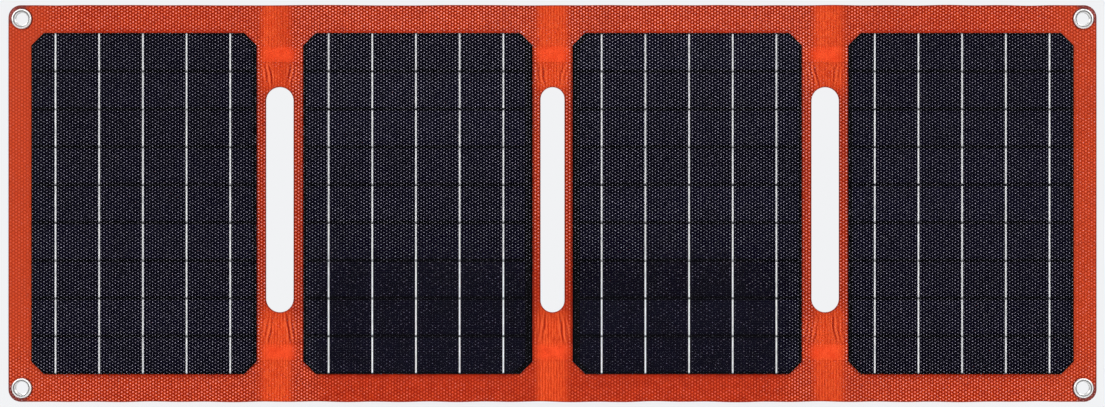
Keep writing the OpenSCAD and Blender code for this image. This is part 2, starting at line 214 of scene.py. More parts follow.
def grooves(x, z):
    """From 1 in a groove to -1 on a crest: the lines beside a fold between a slot's end and the jumper
    beyond, which lie closer to the fold line at the slot."""
    slot_end = np.where(z > 0, SLOT_TOP, SLOT_BOTTOM)
    jumper_edge = np.where(z > 0, JUMPER_Z - JUMPER_HALF_H, JUMPER_HALF_H - JUMPER_Z)
    t = (z - slot_end) / (jumper_edge - slot_end)
    envelope = np.sin(math.pi * np.clip(t, 0, 1)) ** 0.6
    first = (4.6 + 3.6 * t + 0.9 * ripple(6 * z + 2.5 * x, 12)) * MM
    away = np.abs(from_fold(x)) - first
    train = np.cos(away * 2 * math.pi / GROOVE_PITCH)
    window = ramp(away, -2.2 * MM, -0.8 * MM) * np.exp(-np.maximum(away, 0) / (6 * MM))
    return envelope * window * train * (0.85 + 0.6 * ripple(9 * x + 4 * z, 13))


def web_creases(x, z):
    """How far the creased web beside a fold line stands back, in metres: fine striations and the grooves."""
    u = from_fold(x)
    rng = np.random.default_rng(11)
    striations = np.zeros_like(u)
    for _ in range(6):
        length = rng.uniform(1.9, 4.6) * MM
        phase = rng.uniform(0, 6)
        striations += np.sin(u * 2 * math.pi / length + phase + 9 * np.sin(z * 14))
    depth = 0.012 * MM * striations + 0.28 * MM * grooves(x, z)
    return depth * band(u, 0, WEB_HALF_W, 6 * MM) * (1 - patch_mask(x, z))


def loose_border(x, z, start, width):
    """1 in the top and bottom border away from the eyelets, rising over width from start above the boards."""
    above = ramp(np.abs(z), BOARD_TOP + start, BOARD_TOP + start + width)
    return above * ramp(to_eyelet(x, z), 12 * MM, 37 * MM)


def border_wave(x, z):
    """How far the loose border waves forward, in metres; nothing near a board, an eyelet or a slot's side."""
    return 0.35 * MM * loose_border(x, z, 3 * MM, 12 * MM) * ripple(x + 0.21 * np.sign(z), 5)


def edge_wander(x, z):
    """How far the top and bottom edges wander up and down, in metres."""
    return 0.5 * MM * loose_border(x, z, 4 * MM, 14 * MM) * ripple(x * 1.4 - 0.4 * np.sign(z), 3)


def cloth_front(x, z):
    """The front fabric's face, under the film."""
    return Y_CLOTH + LAYER_GAP + web_creases(x, z) - border_wave(x, z)


def cloth_middle_front(x, z):
    """The front fabric's hidden face, at the panel's middle plane."""
    return -LAYER_GAP - border_wave(x, z)


def cloth_middle_back(x, z):
    """The back fabric's hidden face."""
    return LAYER_GAP - border_wave(x, z)


def cloth_back(x, z):
    """The panel's back: full thickness behind the boards and round the eyelets, a little thinner elsewhere
    and thinnest along the sealed edges."""
    loose = ramp(to_boards(x, z), 0, 3 * MM) * ramp(to_eyelet(x, z), 8.5 * MM, 11.5 * MM)
    seal = ramp(to_fabric(x, z), -4.2 * MM, -3.6 * MM)
    thinner = loose * (0.10 + 0.08 * seal) * MM
    return Y_BACK - thinner - border_wave(x, z) - web_creases(x, z) * 0.4


def film_front(x, z):
    """On the fabric, raised over the jumpers, and on the cells over the boards."""
    over_board = ramp(to_boards(x, z), 1.9 * MM, -0.3 * MM)
    lying = Y_FILM_FLAT - JUMPER_RISE * jumper_band(z) + web_creases(x, z) - border_wave(x, z)
    return lying * (1 - over_board) + Y_FILM_TOP * over_board


# ---------------------------------------------------------------- meshes

def arc(cx, cz, r, start, end, step=1.2 * MM):
    """Points on an arc from start to end degrees, both ends in."""
    n = max(3, int(abs(math.radians(end - start)) * r / step) + 1)
    turn = np.radians(np.linspace(start, end, n))
    return np.column_stack([cx + r * np.cos(turn), cz + r * np.sin(turn)])


def line(a, b, step=3 * MM):
    """Points from a towards b, without b."""
    n = max(1, int(round(math.dist(a, b) / step)))
    t = np.arange(n)[:, None] / n
    return np.array(a) * (1 - t) + np.array(b) * t


def loop_of(corners):
    """A closed loop of points along straight stretches between corners; an arc is given as its points."""
    points = []
    for here, there in zip(corners, corners[1:] + corners[:1]):
        here, there = np.atleast_2d(here), np.atleast_2d(there)
        points += [here[:-1], line(here[-1], there[0])]
    return np.vstack(points)


def slot_loop(fold):
    r = SLOT_W[fold] / 2
    x = FOLD_X[fold]
    top = arc(x, SLOT_TOP - r, r, 0, 180, 0.9 * MM)
    bottom = arc(x, SLOT_BOTTOM + r, r, 180, 360, 0.9 * MM)
    return loop_of([top, bottom])


def eyelet_loop(side, top):
    return arc(side * EYELET_X, top * EYELET_Z, BARREL_R, 0, 360, 0.7 * MM)[:-1]


def span_loops(span):
    """The outline and holes of one span: -1 is the left one, 0 the middle one and 1 the right one."""
    slot = slot_loop(SPAN_FOLD[span])
    if span == 0:
        corners = [(-SEAM_X, -HALF_H), (SEAM_X, -HALF_H), (SEAM_X, HALF_H), (-SEAM_X, HALF_H)]
        return [loop_of(corners), slot]
    cx = HALF_W - CORNER_R
    cz = HALF_H - CORNER_R
    low = arc(cx, -cz, CORNER_R, -90, 0)
    high = arc(cx, cz, CORNER_R, 0, 90)
    outline = loop_of([(SEAM_X, -HALF_H), low, high, (SEAM_X, HALF_H)])
    if span < 0:
        outline = outline[::-1] * (-1, 1)
    return [outline, slot, eyelet_loop(span, 1), eyelet_loop(span, -1)]


def span_ends(span):
    """Where a span starts and stops along x."""
    return (-SEAM_X, SEAM_X) if span == 0 else sorted((span * SEAM_X, span * HALF_W))


def grid(x0, x1, z0, z1, dx, dz, shift=0.5):
    """Points in a rectangle, every other row shifted."""
    rows = []
    for k, z in enumerate(np.arange(z0, z1, dz)):
        x = np.arange(x0, x1, dx) + (k % 2) * shift * dx
        rows.append(np.column_stack([x, np.full_like(x, z)]))
    return np.vstack(rows)


def board_ring(lo, hi, distance):
    """Points along a board's chamfered outline, at this distance outside it."""
    cut = BOARD_CHAMFER + distance * (2 - math.sqrt(2))
    x0 = lo.x - distance
    x1 = hi.x + distance
    top = hi.z + distance
    return loop_of([
        (x0 + cut, -top), (x1 - cut, -top), (x1, cut - top), (x1, top - cut),
        (x1 - cut, top), (x0 + cut, top), (x0, top - cut), (x0, cut - top),
    ])


def within(points, ends, margin):
    """Which points lie between the ends of a span, at least margin inside them."""
    return (points[:, 0] > ends[0] + margin) & (points[:, 0] < ends[1] - margin)


def span_points(span, rings):
    """Inner points of one span: close together in the web beside the fold and on the rings, wider apart
    elsewhere."""
    ends = span_ends(span)
    fold = FOLD_X[SPAN_FOLD[span]]
    fine_end = fold + WEB_HALF_W + 0.1 * MM
    fine = grid(fold - WEB_HALF_W, fine_end, -HALF_H, HALF_H, 0.75 * MM, 2.2 * MM, 0)
    wide = grid(*ends, -HALF_H, HALF_H, 4.5 * MM, 3.9 * MM)
    wide = wide[np.abs(wide[:, 0] - fold) > WEB_HALF_W + 1.5 * MM]
    if rings is not None:
        wide = wide[np.abs(to_boards(*wide.T) - 0.8 * MM) > 3.2 * MM]
        ring = rings[within(rings, ends, 1 * MM)]
        ring = ring[np.abs(ring[:, 0] - fold) > WEB_HALF_W + 0.5 * MM]
        wide = np.vstack([wide, ring])
    points = np.vstack([fine, wide])
    margin = 0.7 * MM
    return points[(to_fabric(*points.T) < -margin) & within(points, ends, margin)]


def span_mesh(span, rings=None):
    """The flat triangulation of one span: points (n, 2) and triangles (m, 3), facing -Y."""
    loops = span_loops(span)
    edges = []
    for loop in loops:
        n = len(loop)
        start = len(edges)
        edges += [(start + k, start + (k + 1) % n) for k in range(n)]
    points = np.vstack([*loops, span_points(span, rings)])
    scaled = [Vector(p / MM) for p in points]
    made = geometry.delaunay_2d_cdt(scaled, edges, [], 0, 1e-4)
    flat = np.array([tuple(v) for v in made[0]]) * MM
    faces = np.array([tuple(f) for f in made[2]])
    middle = flat[faces].mean(axis=1)
    faces = faces[(to_fabric(*middle.T) < 0) & within(middle, span_ends(span), 0)]
    a, b, c = (flat[faces[:, k]] for k in range(3))
    doubled_area = (b - a)[:, 0] * (c - a)[:, 1] - (b - a)[:, 1] * (c - a)[:, 0]
    sound = np.abs(doubled_area) > 1e-12
    faces = faces[sound]
    turned = doubled_area[sound] < 0
    faces[turned] = faces[turned][:, ::-1]
    used = np.unique(faces)
    renumber = np.zeros(len(flat), int)
    renumber[used] = np.arange(len(used))
    return flat[used], renumber[faces]


def rim_of(faces):
    """The edges that only one triangle uses, in that triangle's direction."""
    edges = np.vstack([faces[:, [0, 1]], faces[:, [1, 2]], faces[:, [2, 0]]])
    key = np.sort(edges, axis=1)
    _, first, count = np.unique(key, axis=0, return_index=True, return_counts=True)
    return edges[first[count == 1]]


def make_object(name, vertices, faces, smooth=True):
    """A new mesh object in the scene."""
    mesh = bpy.data.meshes.new(name)
    mesh.from_pydata([tuple(v) for v in vertices], [], [tuple(f) for f in faces])
    mesh.update()
    mesh.polygons.foreach_set("use_smooth", np.full(len(mesh.polygons), smooth))
    piece = bpy.data.objects.new(name, mesh)
    bpy.context.scene.collection.objects.link(piece)
    return piece


def keep_value(piece, name, values):
    """Stores one number at each point, for the materials."""
    held = piece.data.attributes.new(name, "FLOAT", "POINT")
    held.data.foreach_set("value", values.astype(np.float32))


def keep_rest(piece, flat):
    """Stores what the materials use at each point: its place on the flat fabric, as x, distance inside the
    cut edge and z; its share of emboss, which also sets the painted glints; from 1 in a groove to -1 on a crest,
    for the painted shade in the grooves and the painted highlight on the crests; and its shares in a jumper's
    smooth patch, in the web and in a board."""
    rest = np.column_stack([flat[:, 0], -to_fabric(*flat.T), flat[:, 1]]).astype(np.float32)
    held = piece.data.attributes.new("rest", "FLOAT_VECTOR", "POINT")
    held.data.foreach_set("vector", rest.ravel())
    keep_value(piece, "emboss", emboss_and_glint_strength(*flat.T))
    pressed = patch_mask(*flat.T)
    keep_value(piece, "crease", grooves(*flat.T) * (1 - pressed))
    keep_value(piece, "pressed", pressed)
    keep_value(piece, "web", web_mask(*flat.T))
    keep_value(piece, "board", ramp(to_boards(*flat.T), 0, -1.2 * MM))


def placed(flat, y):
    """Points of the flat fabric at depth y, with the wander of its edges."""
    return np.column_stack([flat[:, 0], y, flat[:, 1] + edge_wander(*flat.T)])


def make_cloth(name, span, near, far):
    """A closed sheet of fabric between two depths: near faces the cells' side, far the back."""
    flat, faces = span_mesh(span)
    n = len(flat)
    vertices = np.vstack([placed(flat, near(*flat.T)), placed(flat, far(*flat.T))])
    rim = rim_of(faces)
    walls = [(b, a, a + n, b + n) for a, b in rim]
    piece = make_object(name, vertices, [*faces, *(faces[:, ::-1] + n), *walls])
    flags = np.ones(len(piece.data.polygons), bool)
    flags[2 * len(faces):] = False
    piece.data.polygons.foreach_set("use_smooth", flags)
    mark_sharp_rim(piece, rim, n)
    keep_rest(piece, np.vstack([flat, flat]))
    return piece


def mark_sharp_rim(piece, rim, n):
    """Keeps the cut edge crisp under smooth shading, on both faces of a sheet of n points a face."""
    wanted = {frozenset(pair) for pair in np.vstack([rim, rim + n]).tolist()}
    ends = np.zeros(len(piece.data.edges) * 2, np.int32)
    piece.data.edges.foreach_get("vertices", ends)
    sharp = [frozenset(pair) in wanted for pair in ends.reshape(-1, 2).tolist()]
    held = piece.data.attributes.new("sharp_edge", "BOOLEAN", "EDGE")
    held.data.foreach_set("value", np.array(sharp))


def emboss_and_glint_strength(x, z):
    """How strongly the honeycomb is pressed, which also sets how bright the film's painted glints are: crisp on
    the inner leaves but for their lower middle, and stronger towards their top, as painted light; soft at the
    panel's ends, weak in the webs and flat over the jumpers. Round a board it is strong outside the edges that
    face a fold, for painted highlights on the film's slope, and flat just inside them, and weak on the slopes at
    the other edges."""
    outer_leaves = 0.82
    inner = band(x, 0, FOLD_X["fold_3"] + 8 * MM, 16 * MM)
    low_middle = ramp(z, -6 * MM, -72 * MM) * ramp(np.abs(x), 178 * MM, 158 * MM)
    crisp = (0.86 + 0.20 * ramp(z, 0, 130 * MM)) * (1 - 0.52 * low_middle)
    strength = inner * crisp + (1 - inner) * outer_leaves

    outside = to_boards(x, z)
    ends = ramp(np.abs(x), 350 * MM, 374 * MM) * ramp(outside, -0.75 * MM, 0.75 * MM)
    ends = ends * (1 - 0.6 * ramp(z, -80 * MM, -120 * MM))
    strength = strength * (1 - ends * np.where(x < 0, 0.62, 0.45))

    beside_fold = band(from_fold(x), 0, 32 * MM, 8 * MM)
    lip = band(outside, -0.3 * MM, 0.9 * MM, 0.5 * MM) * beside_fold
    steep = band(outside, 0.9 * MM, 1.0 * MM, 0.6 * MM) * beside_fold
    slope = band(outside, 0.7 * MM, 1.4 * MM, 0.8 * MM) * (1 - beside_fold)
    strength = strength * (1 - 0.95 * lip) * (1 + 0.8 * steep) * (1 - 0.7 * slope)

    web = web_mask(x, z) * ramp(outside, 2 * MM, 4 * MM)
    return strength * (1 - 0.80 * web) * (1 - 0.96 * patch_mask(x, z))


def make_film(name, span):
    """The clear film: one layer, with rings of points where it rises over the boards."""
    rings = np.vstack([board_ring(lo, hi, d) for lo, hi in BOARDS for d in SLOPE_RINGS])
    flat, faces = span_mesh(span, rings)
    piece = make_object(name, placed(flat, film_front(*flat.T)), faces)
    keep_rest(piece, flat)
    return piece


def strip_faces(columns, rows):
    """Faces of a closed strip: a grid of points for its front, then the same again for its back."""
    n = columns * rows
    corner = np.arange(n).reshape(columns, rows)
    quads = [
        (corner[i, k], corner[i + 1, k], corner[i + 1, k + 1], corner[i, k + 1])
        for i in range(columns - 1)
        for k in range(rows - 1)
    ]
    ring = [*corner[:, 0], *corner[-1, 1:], *corner[-2::-1, -1], *corner[0, -2:0:-1]]
    walls = [(b, a, a + n, b + n) for a, b in zip(ring, ring[1:] + ring[:1])]
    return np.array([*quads, *(tuple(n + v for v in q[::-1]) for q in quads), *walls])


def make_jumpers(name, fold):
    """The two flat sleeved conductors across a fold, each from under one board to under the next."""
    lo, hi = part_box(f"{fold}_jumpers")
    columns = np.linspace(lo.x, hi.x, 56)
    rows = np.linspace(-JUMPER_HALF_H, JUMPER_HALF_H, 9)
    strip = strip_faces(len(columns), len(rows))
    vertices = []
    faces = []
    for k, top in enumerate((1, -1)):
        x, z = (m.ravel() for m in np.meshgrid(columns, top * JUMPER_Z + rows, indexing="ij"))
        crown = 0.05 * MM * (1 - ((z - top * JUMPER_Z) / JUMPER_HALF_H) ** 4)
        vertices.append(np.column_stack([x, lo.y - crown, z]))
        vertices.append(np.column_stack([x, np.full(len(x), hi.y), z]))
        faces.append(strip + k * 2 * len(x))
    vertices = np.vstack(vertices)
    piece = make_object(name, vertices, np.vstack(faces), smooth=False)
    keep_rest(piece, vertices[:, [0, 2]])
    return piece


def lathe(profile, steps=72):
    """Vertices and faces of a closed profile of radius and depth along Y, turned about the Y axis."""
    turn = np.linspace(0, 2 * math.pi, steps, endpoint=False)
    profile = np.array(profile)
    n = len(profile)
    vertices = [(r * math.cos(a), y, r * math.sin(a)) for a in turn for r, y in profile]
    faces = []
    for i in range(steps):
        j = (i + 1) % steps
        faces += [(i * n + k, i * n + (k + 1) % n, j * n + (k + 1) % n, j * n + k) for k in range(n)]
    return np.array(vertices), faces


def rounded_profile(corners, radius, steps=4):
    """A closed outline with every corner rounded by a quadratic curve."""
    points = []
    n = len(corners)
    for k in range(n):
        before, here, after = (np.array(corners[(k + s) % n], float) for s in (-1, 0, 1))
        back = before - here
        on = after - here
        r = min(radius, np.linalg.norm(back) * 0.48, np.linalg.norm(on) * 0.48)
        a = here + back / np.linalg.norm(back) * r
        b = here + on / np.linalg.norm(on) * r
        for t in np.linspace(0, 1, steps + 1):
            points.append(tuple(a * (1 - t) ** 2 + 2 * here * t * (1 - t) + b * t * t))
    return points


def make_turned_pair(name, side, profile):
    """The upper and lower eyelet parts of one end of the panel, turned from one profile."""
    vertices, faces = lathe(profile)
    both = []
    all_faces = []
    for k, top in enumerate((1, -1)):
        both.append(vertices + (side * EYELET_X, 0, top * EYELET_Z))
        all_faces += [tuple(v + k * len(vertices) for v in f) for f in faces]
    return make_object(name, np.vstack(both), all_faces)


# ---------------------------------------------------------------- materials

class Tree:
    """A node tree built by short calls; a number, a colour or a socket may go wherever a value goes."""

    def __init__(self, tree):
        self.tree = tree
        tree.nodes.clear()

    def put(self, socket, value):
        if isinstance(value, bpy.types.NodeSocket):
            self.tree.links.new(value, socket)
        elif value is not None:
            socket.default_value = value

    def add(self, kind, inputs=None, **settings):
        node = self.tree.nodes.new("ShaderNode" + kind)
        for name, value in settings.items():
            setattr(node, name, value)
        for key, value in (inputs or {}).items():
            self.put(node.inputs[key], value)
        return node

    def math(self, operation, a, b=None):
        return self.add("Math", {0: a, 1: b}, operation=operation).outputs[0]

    def plus(self, a, b):
        return self.math("ADD", a, b)

    def minus(self, a, b):
        return self.math("SUBTRACT", a, b)

    def times(self, a, b):
        return self.math("MULTIPLY", a, b)

    def absolute(self, value):
        return self.math("ABSOLUTE", value)

    def length(self, a, b):
        """Of the vector whose parts are a and b."""
        return self.math("SQRT", self.plus(self.times(a, a), self.times(b, b)))

    def random(self, a, b):
        """From 0 to 1, the same wherever the pair of numbers is the same."""
        inputs = {"Vector": self.vector(a, b, 0.0)}
        return self.add("TexWhiteNoise", inputs, noise_dimensions="2D").outputs["Value"]

    def mix(self, factor, a, b):
        """Between two numbers."""
        return self.add("Mix", {0: factor, 2: a, 3: b}, data_type="FLOAT").outputs[0]

    def mix_colour(self, factor, a, b):
        return self.add("Mix", {0: factor, 6: a, 7: b}, data_type="RGBA").outputs[2]

    def fade(self, value, low, high, start=0.0, end=1.0):
        """From start to end as value goes from low to high, eased."""
        inputs = {"Value": value, "From Min": low, "From Max": high, "To Min": start, "To Max": end}
        return self.add("MapRange", inputs, interpolation_type="SMOOTHSTEP").outputs[0]

    def vector(self, x, y, z):
        return self.add("CombineXYZ", {0: x, 1: y, 2: z}).outputs[0]

    def axes(self, vector):
        return self.add("SeparateXYZ", {0: vector}).outputs[:3]

    def attribute(self, name, output="Vector"):
        return self.add("Attribute", attribute_name=name).outputs[output]

    def place(self):
        """The object's own coordinates, in metres."""
        return self.add("TexCoord").outputs["Object"]

    def noise(self, vector, size, detail=2.0, roughness=0.5):
        """Noise from 0 to 1 whose features are about size metres across."""
        inputs = {"Vector": vector, "Scale": 1 / size, "Detail": detail, "Roughness": roughness}
        return self.add("TexNoise", inputs).outputs["Fac"]

    def bump(self, height, depth):
        """height from 0 to 1 stands for depth metres."""
        return self.add("Bump", {"Height": height, "Distance": depth}).outputs["Normal"]

    def principled(self, **inputs):
        names = {key.replace("_", " "): value for key, value in inputs.items()}
        return self.add("BsdfPrincipled", names).outputs["BSDF"]


def new_material(name, build):
    material = bpy.data.materials.new(name)
    material.use_nodes = True
    tree = Tree(material.node_tree)
    tree.add("OutputMaterial", {"Surface": build(tree)})
    return material


def rgb(red, green, blue):
    """A colour given as screen values from 0 to 255, for a shader."""
    parts = [c / 255 for c in (red, green, blue)]
    linear = [((c + 0.055) / 1.055) ** 2.4 if c > 0.04045 else c / 12.92 for c in parts]
    return (*linear, 1.0)


def honeycomb(t, x, z):
    """The emboss at x, z: distances across and up from the dimple's middle in metres, share of the way to its
    wall, and a random number for the dimple. The dimples are two lattices, one in the gaps of the other."""
    wide = 2 * HEX_PITCH_X

    def lattice(dx, dz):
        u = t.math("DIVIDE", t.plus(x, dx), wide)
        v = t.math("DIVIDE", t.plus(z, dz), HEX_PITCH_Z)
        i = t.math("FLOOR", u)
        j = t.math("FLOOR", v)
        qx = t.times(t.minus(t.minus(u, i), 0.5), wide)
        qz = t.times(t.minus(t.minus(v, j), 0.5), HEX_PITCH_Z)
        return i, j, qx, qz, t.length(qx, qz)

    a = lattice(0.0, 0.0)
    b = lattice(HEX_PITCH_X, HEX_PITCH_Z / 2)
    second = t.math("LESS_THAN", b[4], a[4])
    # the fractions keep the second lattice's random numbers apart from the first's
    i = t.mix(second, a[0], t.plus(b[0], 0.37))
    j = t.mix(second, a[1], t.plus(b[1], 0.61))
    qx = t.absolute(t.mix(second, a[2], b[2]))
    qz = t.absolute(t.mix(second, a[3], b[3]))
    slant = math.hypot(HEX_PITCH_X, HEX_PITCH_Z / 2)
    slanted = t.plus(t.times(qx, HEX_PITCH_X / slant), t.times(qz, HEX_PITCH_Z / 2 / slant))
    to_flat_wall = t.math("DIVIDE", qz, HEX_PITCH_Z / 2)
    to_slanted_wall = t.math("DIVIDE", slanted, slant / 2)
    wall = t.math("MAXIMUM", to_flat_wall, to_slanted_wall)
    return qx, qz, wall, t.random(i, j)


def weave(t, x, z, pitch):
    """Height from 0 to 1 of a plain weave, threads pitch metres apart."""
    u = t.math("DIVIDE", x, pitch)
    v = t.math("DIVIDE", z, pitch)
    over = t.absolute(t.math("SINE", t.times(u, math.pi)))
    under = t.absolute(t.math("SINE", t.times(v, math.pi)))
    crossing = t.plus(t.math("FLOOR", u), t.math("FLOOR", v))
    odd = t.absolute(t.math("MODULO", crossing, 2.0))
    return t.mix(odd, over, under)


def from_cell_gap(t, z):
    """Distance up or down from the nearest gap between two cells, in metres."""
    along = t.math("FRACT", t.math("DIVIDE", z, CELL_PITCH))
    return t.times(t.absolute(t.minus(along, 0.5)), CELL_PITCH)


def film_shader(t):
    """Clear, with a painted glint, a highlight painted into the colour and alpha, in the middle of every dimple,
    fainter over a gap between two cells, and painted shade on the dimples' steep walls. Where the emboss is weak,
    the painted glints differ more from each other."""
    x, _, z = t.axes(t.attribute("rest"))
    emboss = t.attribute("emboss", "Fac")
    qx, qz, wall, random = honeycomb(t, x, z)
    r = t.length(t.times(qx, 0.62), t.times(qz, 1.38))
    size = t.plus(0.29 * MM, t.times(emboss, 0.10 * MM))
    sparse = t.plus(0.42, t.times(t.times(random, random), 1.3))
    dense = t.plus(0.7, t.times(random, 0.65))
    spark = t.mix(t.fade(emboss, 0.5, 0.85), sparse, dense)
    # the painted glints are dimmed over the gaps between cells
    over_gap = t.fade(from_cell_gap(t, z), 1.7 * MM, 0.8 * MM, 0.0, 0.28)
    fainter = t.times(over_gap, t.attribute("board", "Fac"))
    # painted highlight: a white glint painted into the film's colour and alpha in each dimple's middle
    glint = t.times(t.times(t.fade(r, size, 0.1 * MM), spark), t.times(emboss, 0.62))
    glint = t.times(glint, t.minus(1.0, fainter))
    # painted shade: near-black colour with alpha on the dimples' steep walls
    steep = t.times(t.fade(wall, 0.76, 0.98), t.times(emboss, 0.36))
    worn = t.noise(t.vector(x, 0.0, z), 0.03, 3.0)
    clear = t.mix_colour(worn, (0.84, 0.78, 0.97, 1), (0.88, 0.82, 1.0, 1))
    return t.principled(
        Base_Color=t.mix_colour(t.fade(wall, 0.55, 0.7), clear, (0.004, 0.004, 0.006, 1)),
        Roughness=t.fade(worn, 0.3, 0.7, 0.24, 0.34),
        Specular_IOR_Level=0.15,
        Alpha=t.plus(0.001, t.math("MAXIMUM", glint, steep)),
        Normal=t.bump(t.times(t.fade(wall, 1.0, 0.25), emboss), 0.16 * MM),
    )


def orange_colour(t, x, z):
    """The orange under the film: painted shade at the dimples' walls and painted light in their middles, striped
    in the webs, smooth and lighter with a painted highlight over the jumpers, painted shade in the grooves and
    painted highlight on the crests between them."""
    emboss = t.attribute("emboss", "Fac")
    _, _, wall, random = honeycomb(t, x, z)
    # painted light and shade of each dimple: dark at its walls, lit in its middle
    shade = t.times(t.fade(wall, 0.95, 0.3), t.plus(0.75, t.times(random, 0.5)))
    painted_dimple_light = t.mix_colour(shade, rgb(152, 13, 0), rgb(255, 102, 46))
    cloud = t.noise(t.vector(x, 0.0, z), 6 * MM, 3.0)
    panel_end = t.fade(t.absolute(x), 0.33, 0.37)
    plain = t.mix_colour(t.fade(cloud, 0.3, 0.7), rgb(164, 28, 5), rgb(190, 45, 14))
    plain = t.mix_colour(panel_end, plain, rgb(198, 66, 34))
    colour = t.mix_colour(t.math("MINIMUM", emboss, 1.0), plain, painted_dimple_light)

    column = t.math("COSINE", t.times(x, math.pi * 2 / HEX_PITCH_X))
    lines = t.noise(t.vector(x, 0.0, t.times(z, 0.2)), 1.2 * MM, 3.0, 0.6)
    grains = t.noise(t.vector(x, 0.0, z), 0.8 * MM, 1.0)
    striped = t.plus(t.plus(t.times(lines, 0.6), t.times(grains, 0.4)), t.times(column, 0.07))
    web_colour = t.mix_colour(t.fade(striped, 0.34, 0.66), rgb(208, 52, 14), rgb(252, 96, 44))
    broad = t.noise(t.vector(x, 0.0, t.times(z, 0.3)), 0.04, 2.0)
    web = t.times(t.attribute("web", "Fac"), t.fade(broad, 0.25, 0.6, 0.5, 0.95))
    colour = t.mix_colour(web, colour, web_colour)

    crease = t.attribute("crease", "Fac")
    # painted shade in the grooves, and painted highlight on the crests between them
    colour = t.mix_colour(t.fade(crease, 0.0, 0.7, 0.0, 0.85), colour, rgb(144, 18, 2))
    colour = t.mix_colour(t.fade(crease, 0.0, -0.5, 0.0, 0.85), colour, rgb(255, 106, 56))

    # over the jumpers the orange is smooth, and lighter with a painted highlight where the film is pressed smooth
    mottled = t.plus(t.times(cloud, 0.5), t.times(grains, 0.5))
    bright = t.mix_colour(t.fade(mottled, 0.35, 0.65), rgb(226, 62, 24), rgb(250, 84, 42))
    return t.mix_colour(t.times(t.attribute("pressed", "Fac"), 0.9), colour, bright)


def front_cloth_shader(t):
    """The orange fabric: painted shade in the corners, dark at the cut edge, painted shade beside the slots and a
    painted shadow round the eyelets.
    """
    x, edge, z = t.axes(t.attribute("rest"))
    threads = weave(t, x, z, 0.5 * MM)
    colour = t.mix_colour(t.fade(threads, 0.0, 0.5, 0.15, 0.0), orange_colour(t, x, z), rgb(140, 26, 8))

    # painted shade in the corners beyond the eyelets, where the fabric bends away
    beyond_eyelet = t.minus(t.plus(t.absolute(x), t.absolute(z)), EYELET_X + EYELET_Z)
    colour = t.mix_colour(t.fade(beyond_eyelet, 3 * MM, 8 * MM, 0.0, 0.8), colour, rgb(152, 84, 80))
    colour = t.mix_colour(t.fade(edge, 1.1 * MM, 0.3 * MM, 0.0, 0.6), colour, rgb(112, 40, 30))

    # painted shade in the strip beside each slot
    beside_slot = t.times(t.fade(edge, 14 * MM, 7 * MM), t.fade(t.absolute(z), 90 * MM, 76 * MM))
    beside_slot = t.times(beside_slot, t.fade(t.absolute(x), 0.32, 0.28, 0.0, 0.22))
    colour = t.mix_colour(beside_slot, colour, rgb(104, 10, 0))

    # painted shadow round each eyelet's flange, darker on the side towards the panel's middle
    inwards = t.minus(EYELET_X, t.absolute(x))
    r = t.length(inwards, t.minus(t.absolute(z), EYELET_Z))
    painted_eyelet_shadow = t.fade(r, FLANGE_R + 1.3 * MM, FLANGE_R + 0.3 * MM)
    painted_eyelet_shadow = t.times(painted_eyelet_shadow, t.fade(inwards, -3 * MM, 5 * MM, 0.15, 0.8))
    colour = t.mix_colour(painted_eyelet_shadow, colour, rgb(70, 14, 8))

    soiled = t.noise(t.vector(x, 0.0, z), 0.06, 4.0)
    colour = t.mix_colour(t.fade(soiled, 0.5, 0.75, 0.0, 0.16), colour, rgb(150, 44, 24))
    return t.principled(
        Base_Color=colour,
        Roughness=t.fade(soiled, 0.3, 0.7, 0.5, 0.62),
        Specular_IOR_Level=0.06,
        Normal=t.bump(threads, 0.05 * MM),
    )


def back_cloth_shader(t):
    """Charcoal, coarsely woven, with a knurled seal along the cut edge."""
    x, edge, z = t.axes(t.attribute("rest"))
    threads = weave(t, x, z, 0.9 * MM)
    slub = t.noise(t.vector(t.times(x, 0.15), 0.0, z), 1.2 * MM, 1.0)
    colour = t.mix_colour(t.fade(threads, 0.1, 0.9), rgb(22, 22, 24), rgb(54, 55, 58))
    colour = t.mix_colour(t.fade(slub, 0.45, 0.75, 0.0, 0.5), colour, rgb(66, 67, 70))
    dusty = t.noise(t.vector(x, 0.0, z), 0.05, 5.0, 0.6)
    colour = t.mix_colour(t.fade(dusty, 0.5, 0.8, 0.0, 0.25), colour, rgb(84, 82, 80))
    seal = t.times(t.fade(edge, 4.4 * MM, 4.0 * MM), t.fade(edge, 0.2 * MM, 0.6 * MM))
    knurl_wave = math.pi / (1.3 * MM)
    diagonal = t.absolute(t.math("SINE", t.times(t.plus(x, z), knurl_wave)))
    crossed = t.absolute(t.math("SINE", t.times(t.minus(x, z), knurl_wave)))
    knurl = t.math("MINIMUM", diagonal, crossed)
    height = t.mix(seal, threads, t.times(knurl, 1.4))
    return t.principled(
        Base_Color=t.mix_colour(t.times(seal, 0.5), colour, rgb(30, 30, 32)),
        Roughness=t.mix(seal, t.fade(dusty, 0.3, 0.7, 0.62, 0.78), 0.42),
        Sheen_Weight=0.2,
        Normal=t.bump(height, 0.12 * MM),
    )


